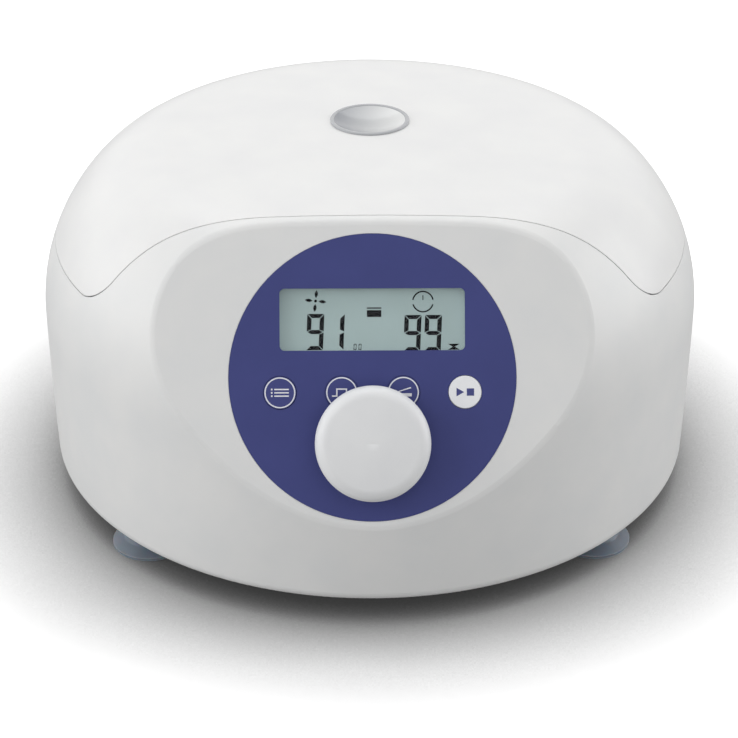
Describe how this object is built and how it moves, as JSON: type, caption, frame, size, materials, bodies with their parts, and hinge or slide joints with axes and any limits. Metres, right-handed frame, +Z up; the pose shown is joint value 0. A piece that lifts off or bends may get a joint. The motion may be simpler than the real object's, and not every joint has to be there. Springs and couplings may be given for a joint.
{
  "type": "microcentrifuge",
  "caption": "Round bench microcentrifuge with a hinged lid, slanted round control panel, large knob, fixed-angle rotor and suction feet.",
  "frame": {"origin": "on the bench, under the middle of the instrument's overall box", "axes": "+Z up, the control panel towards -Y, the hinge and the mains inlet towards +Y, +X to the right as the user sees it"},
  "size_m": [0.22, 0.226, 0.1209],
  "materials": {
    "housing_white": "smooth moulded, light gloss",
    "lid_white": "smooth moulded, light gloss",
    "liner_white": "smooth moulded, satin",
    "base_grey": "fine spark texture",
    "panel_blue": "printed film, satin",
    "window_clear": "polished clear acrylic",
    "lcd_glass": "grey-green display glass",
    "knob_grey": "smooth moulded, satin",
    "key_blue": "satin with a printed ring",
    "key_white": "satin",
    "board_green": "solder mask",
    "part_black": "moulded",
    "steel": "machined",
    "zinc_screw": "bright zinc",
    "aluminium_part": "machined",
    "bowl_steel": "spun, satin",
    "rotor_black": "black anodised",
    "copper_core": "laminations and windings",
    "brass_pin": "plated",
    "foot_rubber": "translucent blue-grey",
    "seal_rubber": "matte",
    "cable_grey": "pvc",
    "fuse_glass": "glass tube",
    "lens_grey": "polished, smoked"
  },
  "bodies": {
    "housing": {"main_housing": "housing_white", "base_pan": "base_grey", "base_screws": "zinc_screw", "panel_overlay": "panel_blue", "display_window": "window_clear", "lcd_module": "lcd_glass", "display_board": "board_green", "key_switches": "part_black", "encoder_body": "steel", "board_screws": "zinc_screw", "chamber_bowl": "bowl_steel", "motor_can": "aluminium_part", "motor_stator": "copper_core", "motor_bearings": "steel", "motor_mount_plate": "steel", "motor_dampers": "seal_rubber", "motor_screws": "zinc_screw", "power_board": "board_green", "transformer": "copper_core", "capacitors": "part_black", "heat_sink": "aluminium_part", "connectors": "part_black", "ribbon_cable": "cable_grey", "motor_lead": "cable_grey", "mains_wires": "cable_grey", "mains_inlet": "part_black", "inlet_pins": "brass_pin", "switch_frame": "part_black", "hinge_bracket": "steel", "hinge_pin": "steel", "hinge_screws": "zinc_screw", "lock_body": "part_black", "lid_sensor": "part_black", "foot_front_left": "foot_rubber", "foot_front_right": "foot_rubber", "foot_rear_left": "foot_rubber", "foot_rear_right": "foot_rubber"},
    "lid": {"lid_shell": "lid_white", "lid_liner": "liner_white", "chamber_seal": "seal_rubber", "lens_bezel": "lens_grey", "inspection_lens": "lens_grey", "lid_hook": "steel", "lid_hinge_leaf": "steel", "lid_screws": "zinc_screw"},
    "rotor_drive": {"rotor": "rotor_black", "rotor_nut": "aluminium_part", "drive_shaft": "steel", "motor_magnet": "copper_core"},
    "knob": {"control_knob": "knob_grey", "encoder_shaft": "steel"},
    "program_key": {"key_program": "key_blue"},
    "pulse_key": {"key_pulse": "key_blue"},
    "lid_key": {"key_lid_release": "key_blue"},
    "start_key": {"key_start_stop": "key_white"},
    "lid_lock": {"lock_bolt": "steel"},
    "power_rocker": {"switch_rocker": "part_black"},
    "fuse_tray": {"fuse_drawer": "part_black", "fuse": "fuse_glass"}
  },
  "joints": [
    {"name": "lid_hinge", "type": "hinge", "parent": "housing", "child": "lid", "pos_m": [0, 0.10801, 0.0855], "axis": [-1, 0, 0], "range_deg": [0, 78]},
    {"name": "rotor_spin", "type": "hinge", "parent": "housing", "child": "rotor_drive", "pos_m": [0, 0.01201, 0.06], "axis": [0, 0, 1], "continuous": true},
    {"name": "knob_turn", "type": "hinge", "parent": "housing", "child": "knob", "pos_m": [0, -0.09352, 0.05943], "axis": [0, -0.8704, 0.4924], "continuous": true},
    {"name": "program_press", "type": "slide", "parent": "housing", "child": "program_key", "axis": [0, 0.8704, -0.4924], "range_m": [0, 0.0005], "stiffness_N_per_m": 3000},
    {"name": "pulse_press", "type": "slide", "parent": "housing", "child": "pulse_key", "axis": [0, 0.8704, -0.4924], "range_m": [0, 0.0005], "stiffness_N_per_m": 3000},
    {"name": "lid_release_press", "type": "slide", "parent": "housing", "child": "lid_key", "axis": [0, 0.8704, -0.4924], "range_m": [0, 0.0005], "stiffness_N_per_m": 3000},
    {"name": "start_press", "type": "slide", "parent": "housing", "child": "start_key", "axis": [0, 0.8704, -0.4924], "range_m": [0, 0.0005], "stiffness_N_per_m": 3000},
    {"name": "lock_slide", "type": "slide", "parent": "housing", "child": "lid_lock", "axis": [-1, 0, 0], "range_m": [0, 0.007], "stiffness_N_per_m": 150},
    {"name": "power_rock", "type": "hinge", "parent": "housing", "child": "power_rocker", "pos_m": [0.026, 0.09711, 0.042], "axis": [-1, 0, 0], "range_deg": [0, 14]},
    {"name": "fuse_pull", "type": "slide", "parent": "housing", "child": "fuse_tray", "axis": [0, 1, 0], "range_m": [0, 0.016]}
  ]
}
